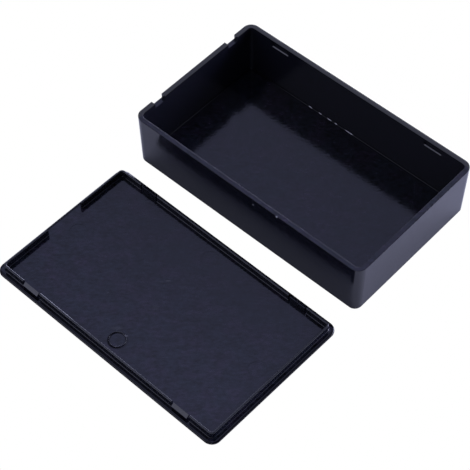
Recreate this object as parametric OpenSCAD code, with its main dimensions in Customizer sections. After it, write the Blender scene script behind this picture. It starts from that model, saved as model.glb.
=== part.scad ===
// Snap-together project box: a moulded tub and its moulded lid. Sizes are in millimetres.
// The tub stands open on its underside, centred on the origin, with its length along X.
// The lid lies beside it, inner face up. A half turn about a level line between the two
// brings the lid square over the tub, and a straight push then snaps it home.

/* [Box] */
// Outside length of the tub and of the lid
box_l = 100; // [80:1:160]
// Outside width of the tub and of the lid
box_w = 60; // [45:1:110]
// Height of the tub, from its underside to its rim
tub_h = 22.5; // [15:0.5:50]
// Radius of the upright corners at the rim
corner_r = 3.5; // [3.4:0.1:6]
// Radius that takes the sharpness off the edges
edge_r = 0.2; // [0.1:0.05:0.25]

/* [Tub] */
// Thickness of the walls, and width of the rim
wall = 1.8; // [1.6:0.1:2]
// Thickness of the floor
floor_t = 1.8; // [1.2:0.1:3]
// How far the walls lean in from the rim down to the underside, so that the tub leaves its mould
draft_in = 0.6; // [0.1:0.1:0.8]
// Radius of the outer edge round the underside
base_r = 0.7; // [0.3:0.1:1.2]
// Radius of the inner edge round the floor
floor_r = 0.5; // [0.2:0.1:0.6]

/* [Rim notches] */
// Width of each of the two notches in the rim at one end
notch_w = 5; // [3:0.5:8]
// Depth of each notch below the rim
notch_d = 1.8; // [1:0.1:3]
// Distance from the tub's long sides to the middle of each notch
notch_in = 11.25; // [8:0.25:16]

/* [Lid] */
// Thickness of the lid's plate
lid_t = 1.5; // [1.5:0.1:2.5]
// Radius of the edge round the lid's outer face
lid_edge_r = 0.9; // [0.3:0.1:0.9]
// Radius of the edge round the lid's inner face
lid_rim_r = 0.6; // [0.2:0.1:0.6]
// Height of the lip above the plate
lip_h = 2.7; // [2.6:0.1:3.5]
// Thickness of the lip
lip_t = 0.8; // [0.7:0.1:1]
// Radius of the two edges along the lip's crest
lip_r = 0.3; // [0.1:0.05:0.3]
// Radius of the inner corners where the lip stands on the plate
root_r = 0.2; // [0.05:0.05:0.2]
// Gap between the lip and the tub's walls, all round
lip_clear = 0.15; // [0.1:0.05:0.2]
// Width of the break in the lip, at the end with the notches
lip_break = 15.6; // [6:0.2:20]

/* [Catches] */
// Length of each snap tab
tab_l = 6.6; // [4:0.2:12]
// Distance from the box's ends to the middle of each tab
tab_in = 15.8; // [13:0.2:25]
// Width of the slit on each side of a tab, which lets it bend
slit_w = 0.6; // [0.4:0.1:1]
// How far each tab's hook stands out from the lip
hook = 0.55; // [0.5:0.05:0.8]
// Height of a hook, from its shoulder up to the tab's tip
hook_h = 1.25; // [0.9:0.05:1.5]
// Width of the flat at a tab's tip
hook_tip = 0.2; // [0.1:0.05:0.4]
// Height of the upright nose in front of a hook
hook_nose = 0.35; // [0.1:0.05:0.5]
// Distance from the rim down to the upper edge of each catch pocket
pocket_top = 0.9; // [0.7:0.1:1]
// Play between a hook and the upper edge of its pocket
catch_play = 0.1; // [0.05:0.05:0.2]
// Gap between a hook and the back of its pocket
pocket_clear = 0.25; // [0.1:0.05:0.3]
// Gap between a hook and each end of its pocket
pocket_end = 0.4; // [0.2:0.1:1]
// Gap under a hook, down to the lower edge of its pocket
pocket_under = 0.4; // [0.2:0.1:1.5]
// Size of the slope that eases the pocket's upper and lower edges
pocket_ease = 0.2; // [0.1:0.05:0.25]

/* [Ejector marks] */
// Diameter of the round marks that the mould's ejector pins leave
pin_d = 6.2; // [4:0.2:8]
// Distance from the box's long sides to the marks beside them
pin_side_in = 8; // [7:0.5:12]
// Distance from the box's ends to the marks beside them
pin_end_in = 9; // [8:0.5:16]
// Height of the ring of flash round the lid's near mark
flash_h = 0.3; // [0.2:0.05:0.5]
// Width of the ring of flash
flash_w = 0.45; // [0.4:0.05:0.6]
// Radius of the edges along the ring of flash
flash_r = 0.15; // [0.05:0.05:0.15]
// Depth of every other mark
pin_faint = 0.05; // [0.02:0.01:0.1]

/* [Lid at rest] */
// Gap between the rim and the lid that lies beside the tub
lid_gap = 8; // [4:0.5:40]
// Angle at which the lid lies, seen from above
lid_skew = -0.8; // [-3:0.1:3]

/* [Hidden] */
$fn = 48;
over = 1;                                  // length by which a cut runs past the face it leaves
plastic = "#17181c";
inner_w = box_w - 2 * wall;                // clear width between the walls at the rim
lip_out = corner_r - wall - lip_clear;     // the lip's faces, from the line through the corner centres
lip_in = lip_out - lip_t;
tab_y = inner_w / 2 - lip_clear;           // outer face of the long lips
shoulder = pocket_top + catch_play;        // height of a hook's shoulder above the plate
pocket_l = tab_l + 2 * pocket_end;
pocket_h = catch_play + hook_h + pocket_under;
tab_x = box_l / 2 - tab_in;
pin_side_y = box_w / 2 - pin_side_in;      // places of the marks from the middle
pin_end_x = box_l / 2 - pin_end_in;
lid_y = -(box_w + lid_gap);
lid_x = -lid_y * tan(lid_skew / 2);        // the half turn then brings the lid's centre to the tub's

function unit(v) = v / norm(v);

// An outline through points in anticlockwise order, each corner rounded by its own radius:
// the bit between a corner and its arc is cut from a corner that points outwards, and
// added to one that points inwards
module rounded_outline(points, radii) {
    n = len(points);
    function back(i) = unit(points[(i + n - 1) % n] - points[i]);
    function ahead(i) = unit(points[(i + 1) % n] - points[i]);
    function half_angle(i) = acos(back(i) * ahead(i)) / 2;
    function tangent(i) = radii[i] / tan(half_angle(i));
    function centre(i) = points[i] + unit(back(i) + ahead(i)) * radii[i] / sin(half_angle(i));
    function outward(i) = cross(ahead(i), back(i)) > 0;
    round_corners = [for (i = [0:n - 1]) if (radii[i] > 0) i];
    module corner_bit(i) {
        difference() {
            polygon([points[i] + back(i) * tangent(i), points[i], points[i] + ahead(i) * tangent(i)]);
            translate(centre(i)) circle(radii[i]);
        }
    }
    difference() {
        polygon(points);
        for (i = round_corners) if (outward(i)) corner_bit(i);
    }
    for (i = round_corners) if (!outward(i)) corner_bit(i);
}

// Sweeps a profile round the box. The profile's x is counted outwards from the line
// through the corner centres, so its faces turn each corner as true cylinders and cones
module round_the_box() {
    for (side = [0:3]) {
        lengthways = side % 2 == 0;
        out = (lengthways ? box_l : box_w) / 2 - corner_r;
        run = (lengthways ? box_w : box_l) / 2 - corner_r;
        rotate([0, 0, 90 * side]) translate([out, run, 0]) {
            rotate([90, 0, 0]) linear_extrude(2 * run) children();
            rotate_extrude(angle = 90) children();
        }
    }
}

// The slab that closes the middle of the floor or the plate, inside the swept profile
module middle(thickness) {
    linear_extrude(thickness) square([box_l - 2 * corner_r, box_w - 2 * corner_r], center = true);
}

// Places its children at the four tabs, turned so that +Y points out of the box
module at_catches() {
    for (x = [-tab_x, tab_x]) {
        translate([x, tab_y, 0]) children();
        translate([x, -tab_y, 0]) rotate([0, 0, 180]) children();
    }
}

// Faint round marks, cut down from a face at height z
module faint_marks(places, z) {
    for (place = places)
        translate([place[0], place[1], z - pin_faint]) cylinder(d = pin_d, h = pin_faint + over);
}

// The ring of flash that a worn ejector pin leaves, with its foot sunk in the plate
module flash_ring() {
    outer = pin_d / 2;
    inner = outer - flash_w;
    translate([0, -pin_side_y, lid_t]) rotate_extrude() rounded_outline(
        [[inner, -flash_h], [outer, -flash_h], [outer, flash_h], [inner, flash_h]],
        [0, 0, flash_r, flash_r]
    );
}

// Section through the tub's wall and the edge of its floor
module tub_section() {
    foot = corner_r - draft_in;
    inner_foot = foot - wall + draft_in * floor_t / tub_h;
    rounded_outline(
        [[0, 0], [foot, 0], [corner_r, tub_h], [corner_r - wall, tub_h], [inner_foot, floor_t], [0, floor_t]],
        [0, base_r, edge_r, edge_r, floor_r, 0]
    );
}

// The two notches through the rim at the -X end
module rim_notches() {
    for (side = [-1, 1])
        translate([-box_l / 2 - over, side * (box_w / 2 - notch_in) - notch_w / 2, tub_h - notch_d])
            cube([wall + 2 * over, notch_w, notch_d + over]);
}

// The pocket that a hook springs into, cut into the wall's inner face, with its edges eased
module catch_pocket() {
    face = lip_clear - over;
    mouth = lip_clear + pocket_ease;
    spread = pocket_ease + over;
    back = hook + pocket_clear;
    translate([0, 0, tub_h - pocket_top]) rotate([90, 0, 90]) linear_extrude(pocket_l, center = true)
        polygon([
            [face, spread],
            [face, -pocket_h - spread],
            [mouth, -pocket_h],
            [back, -pocket_h],
            [back, 0],
            [mouth, 0]
        ]);
}

module tub() {
    color(plastic) difference() {
        union() {
            middle(floor_t);
            round_the_box() tub_section();
        }
        rim_notches();
        at_catches() catch_pocket();
        faint_marks([[0, -pin_side_y], [0, pin_side_y], [-pin_end_x, 0], [pin_end_x, 0]], floor_t);
    }
}

// Section through the edge of the lid's plate
module plate_section() {
    rounded_outline(
        [[0, 0], [corner_r, 0], [corner_r, lid_t], [0, lid_t]],
        [0, lid_edge_r, lid_rim_r, 0]
    );
}

// Section through the lip, with a foot sunk in the plate that its root fillets stand on
module lip_section() {
    sunk = lid_t / 2;
    top = lid_t + lip_h;
    rounded_outline(
        [
            [lip_in - root_r, sunk], [lip_out + root_r, sunk], [lip_out + root_r, lid_t], [lip_out, lid_t],
            [lip_out, top], [lip_in, top], [lip_in, lid_t], [lip_in - root_r, lid_t]
        ],
        [0, 0, 0, root_r, lip_r, lip_r, root_r, 0]
    );
}

// The lip, open at the -X end's middle and where the tabs and their slits are
module lip() {
    slot_l = tab_l + 2 * slit_w;
    slot_w = lip_t + 2 * over;
    difference() {
        round_the_box() lip_section();
        translate([-box_l / 2, -lip_break / 2, lid_t])
            cube([corner_r + wall + lip_t, lip_break, lip_h + over]);
        at_catches()
            translate([-slot_l / 2, over - slot_w, lid_t]) cube([slot_l, slot_w, lip_h + over]);
    }
}

// One snap tab, as thick as the lip, with a hook whose slope leads it past the rim
module tab() {
    tip = shoulder + hook_h;
    translate([0, 0, lid_t]) rotate([90, 0, 90]) linear_extrude(tab_l, center = true) polygon([
        [-lip_t, 0],
        [0, 0],
        [0, shoulder],
        [hook, shoulder],
        [hook, shoulder + hook_nose],
        [hook_tip - lip_t, tip],
        [-lip_t, tip]
    ]);
}

module lid() {
    color(plastic) translate([lid_x, lid_y, 0]) rotate([0, 0, lid_skew]) {
        difference() {
            union() {
                middle(lid_t);
                round_the_box() plate_section();
            }
            faint_marks([[0, pin_side_y], [-pin_end_x, 0], [pin_end_x, 0]], lid_t);
        }
        flash_ring();
        lip();
        at_catches() tab();
    }
}

tub();
lid();
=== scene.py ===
import math
from collections import namedtuple

import bpy
from bpy.props import FloatProperty, FloatVectorProperty, PointerProperty
from mathutils import Matrix, Vector


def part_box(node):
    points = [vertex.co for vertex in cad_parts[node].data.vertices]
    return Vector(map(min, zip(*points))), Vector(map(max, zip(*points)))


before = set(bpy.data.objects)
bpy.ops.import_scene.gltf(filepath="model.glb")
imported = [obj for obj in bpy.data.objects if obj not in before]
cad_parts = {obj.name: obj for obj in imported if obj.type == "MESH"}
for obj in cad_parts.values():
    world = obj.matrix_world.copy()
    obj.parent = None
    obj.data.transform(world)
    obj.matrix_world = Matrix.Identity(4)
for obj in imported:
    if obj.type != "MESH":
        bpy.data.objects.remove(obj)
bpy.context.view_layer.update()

bl_info = {
    "name": "Project Box",
    "version": (1, 0, 0),
    "blender": (4, 5, 0),
    "location": "View3D > Sidebar > Project Box",
    "description": "Dresses a snap-together project box in moulded black plastic and lights it",
    "category": "Object",
}

MM = 0.001
FRAME_WIDTH_MM = 36.0
CLIP_END = 20
FLOOR_REACH = 3.0
FLOOR_GREY = (0.8, 0.8, 0.8, 1)
WHITE = (1, 1, 1, 1)


class Value:
    """A shader socket. Sums, products and quotients of values add their own Math nodes."""

    def __init__(self, shader, socket):
        self.shader = shader
        self.socket = socket

    def math(self, operation, *operands):
        return self.shader.node("ShaderNodeMath", {"operation": operation}, dict(enumerate(operands)))

    def __add__(self, other):
        return self.math("ADD", self, other)

    __radd__ = __add__

    def __sub__(self, other):
        return self.math("SUBTRACT", self, other)

    def __rsub__(self, other):
        return self.math("SUBTRACT", other, self)

    def __mul__(self, other):
        return self.math("MULTIPLY", self, other)

    __rmul__ = __mul__

    def __truediv__(self, other):
        return self.math("DIVIDE", self, other)

    def larger(self, other):
        return self.math("MAXIMUM", self, other)

    def clamped(self):
        return self.shader.node("ShaderNodeClamp", {}, {"Value": self})

    def ramp(self, start, length):
        """Goes from 0 at the start to 1 at the given length past it. A negative length turns it round."""
        return ((self - start) / length).clamped()


class Shader:
    """The node tree of a material or of the world, with its Principled shader if it has one."""

    def __init__(self, tree):
        self.tree = tree
        self.principled = tree.nodes.get("Principled BSDF")

    def node(self, kind, settings, inputs, output=0):
        """Adds a node, sets it up, feeds its sockets and gives one of its outputs."""
        made = self.tree.nodes.new(kind)
        for name, value in settings.items():
            setattr(made, name, value)
        for name, value in inputs.items():
            self.feed(made.inputs[name], value)
        return Value(self, made.outputs[output])

    def vector(self, operation, *operands, output=0):
        settings = {"operation": operation}
        return self.node("ShaderNodeVectorMath", settings, dict(enumerate(operands)), output)

    def mix(self, factor, first, second):
        """Goes from one colour to another."""
        return self.node("ShaderNodeMix", {"data_type": "RGBA"}, {0: factor, 6: first, 7: second}, 2)

    def face_up(self):
        """A mask that is 1 on the faces that look up from the piece at rest."""
        normal = self.node("ShaderNodeTexCoord", {}, {}, "Normal")
        return (self.vector("DOT_PRODUCT", normal, (0, 0, 1), output="Value") * 2 - 1).clamped()

    def axes(self, place, names):
        """The coordinates of a place along the named axes."""
        return [self.node("ShaderNodeSeparateXYZ", {}, {"Vector": place}, name) for name in names]

    def laid_out(self, place, origin, turn, stretch=1):
        """Coordinates of a level frame with its own origin and turn, drawn out along its X axis."""
        settings = {"vector_type": "TEXTURE"}
        inputs = {"Vector": place, "Location": origin, "Rotation": (0, 0, turn), "Scale": (stretch, 1, 1)}
        return self.node("ShaderNodeMapping", settings, inputs)

    def noise(self, place, size):
        """Smooth noise about zero, with features of the given size."""
        return self.node("ShaderNodeTexNoise", {}, {"Vector": place, "Scale": 1 / size}) - 0.5

    def seen_by_camera(self):
        """1 for what the camera looks at, 0 for what a surface reflects or is lit by."""
        return self.node("ShaderNodeLightPath", {}, {}, "Is Camera Ray")

    def feed(self, socket, value):
        if isinstance(value, Value):
            self.tree.links.new(value.socket, socket)
        else:
            socket.default_value = value

    def set(self, **inputs):
        """Feeds the Principled shader's sockets, named with underscores for spaces."""
        for name, value in inputs.items():
            self.feed(self.principled.inputs[name.replace("_", " ")], value)


class BoxFinish(bpy.types.PropertyGroup):
    plastic: FloatVectorProperty(
        name="Plastic", description="Colour of the moulded plastic", subtype="COLOR",
        size=4, min=0, max=1, default=(0.0058, 0.0074, 0.0112, 1),
    )
    cast: FloatVectorProperty(
        name="Cast", description="Colour of the patches where the melt flowed unevenly", subtype="COLOR",
        size=4, min=0, max=1, default=(0.0088, 0.0068, 0.0128, 1),
    )
    # Painted sheen: a lighter colour painted along the tub's far and notched rims and the lid's crest,
    # where they catch the light
    painted_sheen: FloatVectorProperty(
        name="Rubbed", description="Colour of the edges that handling has rubbed pale", subtype="COLOR",
        size=4, min=0, max=1, default=(0.022, 0.022, 0.018, 1),
    )
    # The dust colour also paints the highlights by the lid's flash ring and the glints at the foot of the
    # far wall
    dust_and_highlight: FloatVectorProperty(
        name="Dust", description="Colour of the specks of dust", subtype="COLOR",
        size=4, min=0, max=1, default=(0.75, 0.75, 0.80, 1),
    )
    gloss: FloatProperty(
        name="Roughness", description="How much the moulded faces blur what they reflect",
        min=0, max=1, default=0.12, subtype="FACTOR",
    )
    unevenness: FloatProperty(
        name="Unevenness", description="Height of the waves and grain that the mould leaves in a flat face",
        subtype="DISTANCE", unit="LENGTH", default=0.020 * MM, min=0,
    )


class BoxCamera(bpy.types.PropertyGroup):
    azimuth: FloatProperty(
        name="Azimuth", description="Turn of the camera round the box, from looking along +Y",
        subtype="ANGLE", default=math.radians(42.470),
    )
    elevation: FloatProperty(
        name="Elevation", description="Height of the camera above the horizon",
        subtype="ANGLE", default=math.radians(53.204),
    )
    roll: FloatProperty(
        name="Roll", description="Tilt of the camera about its own line of sight",
        subtype="ANGLE", default=math.radians(-0.497),
    )
    distance: FloatProperty(
        name="Distance", description="Distance from the camera to the point it looks at",
        subtype="DISTANCE", unit="LENGTH", default=0.55865,
    )
    lens: FloatProperty(
        name="Lens", description="Focal length in millimetres, on a frame 36 mm wide",
        default=125.602, min=10,
    )
    aim: FloatVectorProperty(
        name="Aim", description="The point on the floor that the camera looks at",
        subtype="XYZ", unit="LENGTH", size=3, default=(-1.494 * MM, -32.216 * MM, 0),
    )


def light_strength(name, description):
    return FloatProperty(name=name, description=description, default=1, min=0)


def light_colour(name, description, colour):
    return FloatVectorProperty(
        name=name, description=description, subtype="COLOR", min=0, max=1, default=colour)


class BoxStudio(bpy.types.PropertyGroup):
    backlight: light_strength("Backlight", "Strength of the soft light behind the box")
    fill: light_strength("Fill", "Strength of the soft light from the camera's side")
    overhead: light_strength("Overhead", "Strength of the soft light from above")
    backlight_colour: light_colour(
        "Backlight colour", "Colour of the soft light behind the box", (0.69, 0.71, 1.0))
    fill_colour: light_colour(
        "Fill colour", "Colour of the soft light from the camera's side", (0.73, 0.755, 1.0))
    overhead_colour: light_colour(
        "Overhead colour", "Colour of the soft light from above", (0.555, 0.59, 1.0))
    spread: FloatProperty(
        name="Spread", description="How tightly each soft light gathers round its middle",
        default=14, min=1,
    )


# Each soft light: where it stands, its azimuth and elevation in degrees, and its brightness
SOFT_LIGHTS = (
    ("backlight", 60, 5, 17.4),
    ("backlight", 90, 5, 9.7),
    ("backlight", 120, 5, 10.2),
    ("backlight", 150, 5, 1.7),
    ("fill", 240, 27, 2.2),
    ("fill", 300, 27, 1.14),
    ("overhead", 135, 50, 0.21),
    ("overhead", 144, 72, 1.1),
)

# The uneven finish that the mould and the melt leave. Patches, waves and grain are noise of three
# sizes. Waves and grain are drawn out along a level direction, and faint wiping marks along another
PATCH_SIZE = 7 * MM
WAVE_SIZE = 2.4 * MM
GRAIN_SIZE = 0.9 * MM
GRAIN_TURN = math.radians(42)
GRAIN_STRETCH = 1.8
WIPE_SIZE = 0.25 * MM
WIPE_TURN = math.radians(-20)
WIPE_STRETCH = 25
# Ripples round the gate, where the melt came in: their spacing, and how far patches bend them
FLOW_SPACING = 5 * MM
FLOW_WANDER = 3
# How much of the cast the plastic has on average, and how much patches and waves change that
CAST_SHARE = 0.35
CAST_PATCHES = 4
CAST_WAVES = 1.6
# How much grain and waves lighten and darken the plastic
TONE_GRAIN = 3.6
TONE_WAVES = 2
# How much of the cast and tone the outer faces show, which the polished half of the mould made
OUTER_MOTTLE = 0.2
# How much patches, grain and wiping change the roughness
ROUGH_PATCHES = 0.06
ROUGH_GRAIN = 0.12
ROUGH_WIPES = 0.06
# How high waves and ripples stand next to the grain
RELIEF_WAVES = 0.35
RELIEF_FLOW = 0.06

# Small marks, in millimetres from the middle of the piece's footprint and from its underside:
# where each one is, how far it reaches along the grain, across it and upwards, and how strong it is
TUB_DUST = (
    ((4.6, -29.95, 19.8), (0.35, 0.35, 0.35), 0.6),
    ((14.9, -30.0, 22.2), (0.6, 0.4, 0.4), 0.9),
)
LID_DUST_AND_HIGHLIGHTS = (
    ((-4.1, 5.9, 1.5), (1.3, 0.25, 0.3), 0.07),
    ((-5.5, 4.2, 1.5), (0.9, 0.3, 0.3), 0.02),
    ((-15.6, -10.8, 1.5), (0.5, 0.5, 0.3), 0.02),
    ((0.3, -4.6, 1.5), (1.4, 1.2, 0.3), 0.012),
    # Painted highlights: the next two are the bright side of the flash ring and a streak of light beside it
    ((0.9, -19.0, 1.7), (0.9, 0.4, 0.5), 0.12),
    ((-3.6, -18.9, 1.5), (2.6, 0.8, 0.3), 0.02),
)
DUST_AND_GLINT_ROUGHENING = 0.3

# Painted shade along the creases where the far and the notched wall meet the floor: the middle and the
# reach of each
FOOT_SHADE_LINES = (
    ((0, 27.5, 2.0), (4000, 0.6, 0.6)),
    ((-47.5, 0, 2.0), (0.6, 4000, 0.6)),
)
FOOT_SHADE_DULLING = 0.65
# Painted glints, bright stretches along the foot of the far one: the middle and the half length of each
FOOT_GLINTS = ((-18.8, 1.1), (-14.2, 0.9), (-9.9, 1.2), (-6.9, 0.8), (-0.8, 2.2))
GLINT_MIDDLE = (27.5, 2.0)
GLINT_REACH = 0.18
GLINT_STRENGTH = 0.5

# The rings that ejector pins leave: their middles, radius and width of line
TUB_PINS = ((0, 22),)
LID_PINS = ((0, 22), (41, 0))
PIN_RADIUS = 3.1 * MM
PIN_LINE = 0.3 * MM
PIN_ROUGHENING = -0.1
# The ring of flash round the lid's near mark, painted dark, and the side of it where deeper shade is
# painted
FLASH_PIN = (0, -22)
FLASH_LINE = 0.6 * MM
FLASH_SHADE = (-2.2, -23.2, 1.5)
FLASH_SHADE_REACH = 6 * MM
FLASH_DULLING = 0.9

# The black of the pin rings and of the painted shade on lines, ledges and the flash ring, and how much
# lines are roughened
BLACK_RING_AND_SHADE = (0.001, 0.001, 0.002, 1)
LINE_ROUGHENING = 0.1

# How far down from a piece's highest edge the painted sheen reaches, over what height it fades,
# and how strong it is on the lid
SHEEN_DEPTH = 0.3 * MM
SHEEN_FADE = SHEEN_DEPTH / 4
SHEEN_ON_LID = 0.4
# The tub's rim: its width, over what breadth its painted sheen fades, and how that changes roughness and
# grain
RIM_WIDTH = 2.2 * MM
RIM_FADE = RIM_WIDTH / 4
RIM_ROUGHENING = 0.02
RIM_SMOOTHING = 0.6
# The crest of the lid's lip, which is smoother than the faces
CREST_DEPTH = 0.6 * MM
CREST_FADE = 0.3 * MM
CREST_SMOOTHING = 0.85

# The ledge of the lid's plate outside its lip, where shade is painted: how the lid lies, the ledge's
# breadth and height with the length over which each fades, and how much shine and grain the painted shade
# takes away
LID_SKEW = math.radians(-0.8)
LEDGE_WIDTH = 1.3 * MM
LEDGE_FADE = 0.2 * MM
LEDGE_TOP = 1.8 * MM
LEDGE_TOP_FADE = 0.3 * MM
LEDGE_FOOT = 0.3 * MM
LEDGE_FOOT_FADE = 0.6 * MM
LEDGE_SHADE_DULLING = 0.4
LEDGE_SMOOTHING = 0.5

# A mark on a face: its mask and colour, how much it roughens the face, how much of the shine it
# takes away, and how much of the mould's waves and grain
Mark = namedtuple("Mark", "mask colour roughening dulling smoothing", defaults=(0, 0, 0))


def spot(shader, place, middle, reach, turn=0.0):
    """A mask that is 1 round a point and falls to 0 at its reach along each axis."""
    turned = shader.node(
        "ShaderNodeVectorRotate", {"rotation_type": "Z_AXIS"},
        {"Vector": place, "Center": middle, "Angle": -turn})
    offset = shader.vector("DIVIDE", shader.vector("SUBTRACT", turned, middle), reach)
    return (2 - shader.vector("LENGTH", offset, output="Value") * 2).clamped()


def ring(shader, place, middle, width):
    """A mask that is 1 along the level circle that an ejector pin leaves."""
    level = shader.vector("MULTIPLY", shader.vector("SUBTRACT", place, middle), (1, 1, 0))
    away = shader.vector("LENGTH", level, output="Value") - PIN_RADIUS
    return (1 - away.math("ABSOLUTE", away) / width).clamped() * shader.face_up()


def footprint(node):
    """The middle of a node's footprint, on its underside."""
    low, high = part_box(node)
    return Vector(((low.x + high.x) / 2, (low.y + high.y) / 2, low.z))


def new_material(name):
    material = bpy.data.materials.new(name)
    material.use_nodes = True
    return material, Shader(material.node_tree)


def moulded_plastic(node, finish, marks):
    """Glossy black plastic with an uneven mould finish, under the marks, painted shade, sheen and
    highlights that a function gives.
    """
    material, shader = new_material(node + "_plastic")
    place = shader.node("ShaderNodeTexCoord", {}, {}, "Object")
    drawn = shader.laid_out(place, (0, 0, 0), GRAIN_TURN, GRAIN_STRETCH)
    wiped = shader.laid_out(place, (0, 0, 0), WIPE_TURN, WIPE_STRETCH)
    patches = shader.noise(place, PATCH_SIZE)
    waves = shader.noise(drawn, WAVE_SIZE)
    grain = shader.noise(drawn, GRAIN_SIZE)
    wipes = shader.noise(wiped, WIPE_SIZE)
    gate = footprint(node)
    from_gate = shader.vector("DISTANCE", place, tuple(gate), output="Value") / FLOW_SPACING
    ripple = (from_gate + patches * FLOW_WANDER) * math.tau
    flow = ripple.math("SINE", ripple)

    mottle = OUTER_MOTTLE + shader.face_up() * (1 - OUTER_MOTTLE)
    cast = (CAST_SHARE + (patches * CAST_PATCHES + waves * CAST_WAVES) * mottle).clamped()
    hue = shader.mix(cast, tuple(finish.plastic), tuple(finish.cast))
    colour = shader.vector("MULTIPLY", hue, 1 + (grain * TONE_GRAIN + waves * TONE_WAVES) * mottle)
    roughness = finish.gloss + patches * ROUGH_PATCHES + grain * ROUGH_GRAIN + wipes * ROUGH_WIPES
    relief = waves * RELIEF_WAVES + grain + flow * RELIEF_FLOW
    dullness = 0
    for mark in marks(shader, place, finish, gate):
        colour = shader.mix(mark.mask, colour, tuple(mark.colour))
        roughness = roughness + mark.mask * mark.roughening
        # Metallic over a black colour takes away the reflection: this is how shade is painted on lines and
        # ledges
        dullness = dullness + (mark.dulling - dullness) * mark.mask
        relief = relief * (1 - mark.mask * mark.smoothing)
    bump = shader.node(
        "ShaderNodeBump", {}, {"Strength": 1.0, "Distance": finish.unevenness, "Height": relief})
    shader.set(Base_Color=colour, Roughness=roughness, Metallic=dullness, Normal=bump)
    return material


# Dust specks; on the lid the table also holds painted highlights
def specks(shader, place, finish, origin, table):
    for middle, reach, strength in table:
        there = origin + Vector(middle) * MM
        mask = spot(shader, place, tuple(there), tuple(Vector(reach) * MM), GRAIN_TURN) * strength
        yield Mark(mask, finish.dust_and_highlight, DUST_AND_GLINT_ROUGHENING)


def pin_rings(shader, place, origin, middles):
    for x, y in middles:
        there = origin + Vector((x, y, 0)) * MM
        yield Mark(ring(shader, place, tuple(there), PIN_LINE), BLACK_RING_AND_SHADE, PIN_ROUGHENING)


def tub_marks(shader, place, finish, origin):
    low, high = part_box("tub")
    along, across, up = shader.axes(place, "XYZ")
    back_rim = across.ramp(high.y - RIM_WIDTH, RIM_FADE)
    notched_rim = along.ramp(low.x + RIM_WIDTH, -RIM_FADE)
    # Painted sheen along the far and the notched rim
    painted_sheen = up.ramp(high.z - SHEEN_DEPTH, SHEEN_FADE) * back_rim.larger(notched_rim)
    yield Mark(painted_sheen, finish.painted_sheen, RIM_ROUGHENING, smoothing=RIM_SMOOTHING)
    yield from pin_rings(shader, place, origin, TUB_PINS)
    # Painted shade in the creases at the foot of the walls, with their shine taken away
    for middle, reach in FOOT_SHADE_LINES:
        there = origin + Vector(middle) * MM
        foot_shade = spot(shader, place, tuple(there), tuple(Vector(reach) * MM))
        yield Mark(foot_shade, BLACK_RING_AND_SHADE, LINE_ROUGHENING, FOOT_SHADE_DULLING)
    # Painted glints along the foot of the far wall
    for x, half_length in FOOT_GLINTS:
        there = origin + Vector((x, *GLINT_MIDDLE)) * MM
        reach = Vector((half_length, GLINT_REACH, GLINT_REACH)) * MM
        glint = spot(shader, place, tuple(there), tuple(reach)) * GLINT_STRENGTH
        yield Mark(glint, finish.dust_and_highlight, DUST_AND_GLINT_ROUGHENING)
    yield from specks(shader, place, finish, origin, TUB_DUST)


def ledge_shade_mask(shader, place, up):
    """A mask that is 1 on the plate outside the lid's lip, where shade is painted. The lid is as long and
    wide as the tub.
    """
    tub_low, tub_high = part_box("tub")
    low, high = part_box("lid")
    lying = shader.laid_out(place, tuple((low + high) / 2), LID_SKEW)
    inside = (tub_high - tub_low) / 2 - Vector((LEDGE_WIDTH, LEDGE_WIDTH, 0))
    past = shader.vector("SUBTRACT", shader.vector("ABSOLUTE", lying), tuple(inside))
    past_x, past_y = shader.axes(past, "XY")
    height = up.ramp(LEDGE_TOP, -LEDGE_TOP_FADE) * up.ramp(LEDGE_FOOT, LEDGE_FOOT_FADE)
    return height * past_x.larger(past_y).ramp(0, LEDGE_FADE)


def lid_marks(shader, place, finish, origin):
    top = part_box("lid")[1].z
    up = shader.axes(place, "Z")[0]
    crest = up.ramp(top - CREST_DEPTH, CREST_FADE)
    yield Mark(crest, finish.plastic, smoothing=CREST_SMOOTHING)
    # Painted highlight along the crest of the lip
    yield Mark(up.ramp(top - SHEEN_DEPTH, SHEEN_FADE) * SHEEN_ON_LID, finish.painted_sheen)
    ledge = ledge_shade_mask(shader, place, up)
    # Painted shade on the ledge: black, with part of its shine taken away
    yield Mark(ledge, BLACK_RING_AND_SHADE, dulling=LEDGE_SHADE_DULLING, smoothing=LEDGE_SMOOTHING)
    yield from pin_rings(shader, place, origin, LID_PINS)
    flash_middle = origin + Vector((*FLASH_PIN, 0)) * MM
    # Painted shade: the flash ring is painted black, and one side of it also loses its shine
    flash = ring(shader, place, tuple(flash_middle), FLASH_LINE)
    yield Mark(flash, BLACK_RING_AND_SHADE, PIN_ROUGHENING)
    shade_middle = origin + Vector(FLASH_SHADE) * MM
    shade = spot(shader, place, tuple(shade_middle), (FLASH_SHADE_REACH,) * 3)
    yield Mark(flash * shade, BLACK_RING_AND_SHADE, LINE_ROUGHENING, FLASH_DULLING)
    yield from specks(shader, place, finish, origin, LID_DUST_AND_HIGHLIGHTS)


def dress(node, material):
    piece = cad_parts[node]
    piece.data.materials.clear()
    piece.data.materials.append(material)


class PROJECTBOX_OT_tub(bpy.types.Operator):
    """Gives the tub its moulded finish"""

    bl_idname = "projectbox.tub"
    bl_label = "Tub"

    def execute(self, context):
        dress("tub", moulded_plastic("tub", context.scene.box_finish, tub_marks))
        return {"FINISHED"}


class PROJECTBOX_OT_lid(bpy.types.Operator):
    """Gives the lid its moulded finish"""

    bl_idname = "projectbox.lid"
    bl_label = "Lid"

    def execute(self, context):
        dress("lid", moulded_plastic("lid", context.scene.box_finish, lid_marks))
        return {"FINISHED"}


class PROJECTBOX_OT_stage(bpy.types.Operator):
    """Lays the floor and sets up the camera and the soft light"""

    bl_idname = "projectbox.stage"
    bl_label = "Stage"

    def execute(self, context):
        scene = context.scene
        scene.view_settings.view_transform = "Standard"
        lay_floor(scene)
        light_studio(scene)
        place_camera(scene)
        return {"FINISHED"}


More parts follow.
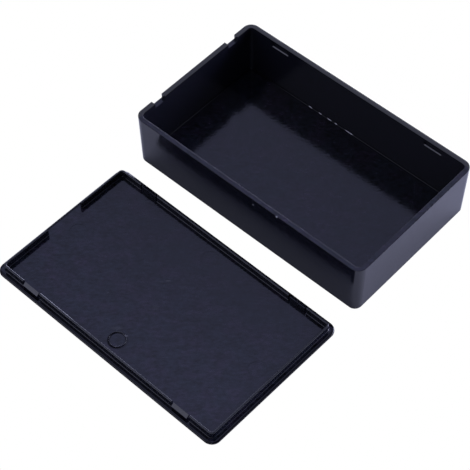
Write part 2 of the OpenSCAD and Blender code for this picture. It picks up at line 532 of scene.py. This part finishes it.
def lay_floor(scene):
    """A floor that the camera sees as plain white, and that lights the box as matt pale grey."""
    corners = [(x * FLOOR_REACH, y * FLOOR_REACH, 0) for x, y in ((-1, -1), (1, -1), (1, 1), (-1, 1))]
    mesh = bpy.data.meshes.new("floor")
    mesh.from_pydata(corners, [], [(0, 1, 2, 3)])
    floor = bpy.data.objects.new("floor", mesh)
    scene.collection.objects.link(floor)
    material, shader = new_material("floor_white")
    shader.set(Base_Color=FLOOR_GREY, Roughness=1.0, Specular_IOR_Level=0.0)
    matt = Value(shader, shader.principled.outputs[0])
    white = shader.node("ShaderNodeEmission", {}, {"Color": WHITE, "Strength": 1.0})
    mixed = shader.node("ShaderNodeMixShader", {}, {0: shader.seen_by_camera(), 1: matt, 2: white})
    shader.feed(shader.tree.nodes["Material Output"].inputs["Surface"], mixed)
    floor.data.materials.append(material)


def direction(azimuth, elevation):
    """A direction of length 1, its azimuth counted from +X towards +Y."""
    level = math.cos(elevation)
    return Vector((math.cos(azimuth) * level, math.sin(azimuth) * level, math.sin(elevation)))


def light_studio(scene):
    """Soft lights that fade into each other round the box, and a plain white backdrop."""
    world = bpy.data.worlds.new("studio")
    world.use_nodes = True
    scene.world = world
    studio = scene.box_studio
    sky = Shader(world.node_tree)
    towards = sky.node("ShaderNodeTexCoord", {}, {}, "Generated")
    light = (0, 0, 0)
    for name, azimuth, elevation, brightness in SOFT_LIGHTS:
        middle = direction(math.radians(azimuth), math.radians(elevation))
        facing = sky.vector("DOT_PRODUCT", towards, tuple(middle), output="Value")
        falloff = facing.math("EXPONENT", (facing - 1) * studio.spread)
        glow = falloff * (brightness * getattr(studio, name))
        tinted = sky.vector("MULTIPLY", tuple(getattr(studio, name + "_colour")), glow)
        light = sky.vector("ADD", tinted, light)
    shown = sky.mix(sky.seen_by_camera(), light, WHITE)
    sky.feed(world.node_tree.nodes["Background"].inputs["Color"], shown)


def place_camera(scene):
    view = scene.box_camera
    back = direction(view.azimuth - math.pi / 2, view.elevation)
    camera = bpy.data.objects.new("camera", bpy.data.cameras.new("camera"))
    scene.collection.objects.link(camera)
    camera.data.sensor_width = FRAME_WIDTH_MM
    camera.data.lens = view.lens
    camera.data.clip_end = CLIP_END
    turn = back.to_track_quat("Z", "Y").to_matrix() @ Matrix.Rotation(view.roll, 3, "Z")
    camera.matrix_world = Matrix.Translation(Vector(view.aim) + back * view.distance) @ turn.to_4x4()
    scene.camera = camera


class PROJECTBOX_PT_panel(bpy.types.Panel):
    """Lists the project box's pieces and settings"""

    bl_label = "Project Box"
    bl_idname = "PROJECTBOX_PT_panel"
    bl_space_type = "VIEW_3D"
    bl_region_type = "UI"
    bl_category = "Project Box"

    def draw(self, context):
        scene = context.scene
        for group in (scene.box_finish, scene.box_studio, scene.box_camera):
            for name in group.__annotations__:
                self.layout.prop(group, name)
        for operator in OPERATORS:
            self.layout.operator(operator.bl_idname)


OPERATORS = (PROJECTBOX_OT_tub, PROJECTBOX_OT_lid, PROJECTBOX_OT_stage)
GROUPS = {"box_finish": BoxFinish, "box_studio": BoxStudio, "box_camera": BoxCamera}
CLASSES = (*GROUPS.values(), *OPERATORS, PROJECTBOX_PT_panel)


def register():
    for cls in CLASSES:
        bpy.utils.register_class(cls)
    for name, group in GROUPS.items():
        setattr(bpy.types.Scene, name, PointerProperty(type=group))


def unregister():
    for name in GROUPS:
        delattr(bpy.types.Scene, name)
    for cls in reversed(CLASSES):
        bpy.utils.unregister_class(cls)


def main():
    register()
    bpy.ops.projectbox.tub()
    bpy.ops.projectbox.lid()
    bpy.ops.projectbox.stage()


if __name__ == "__main__":
    main()
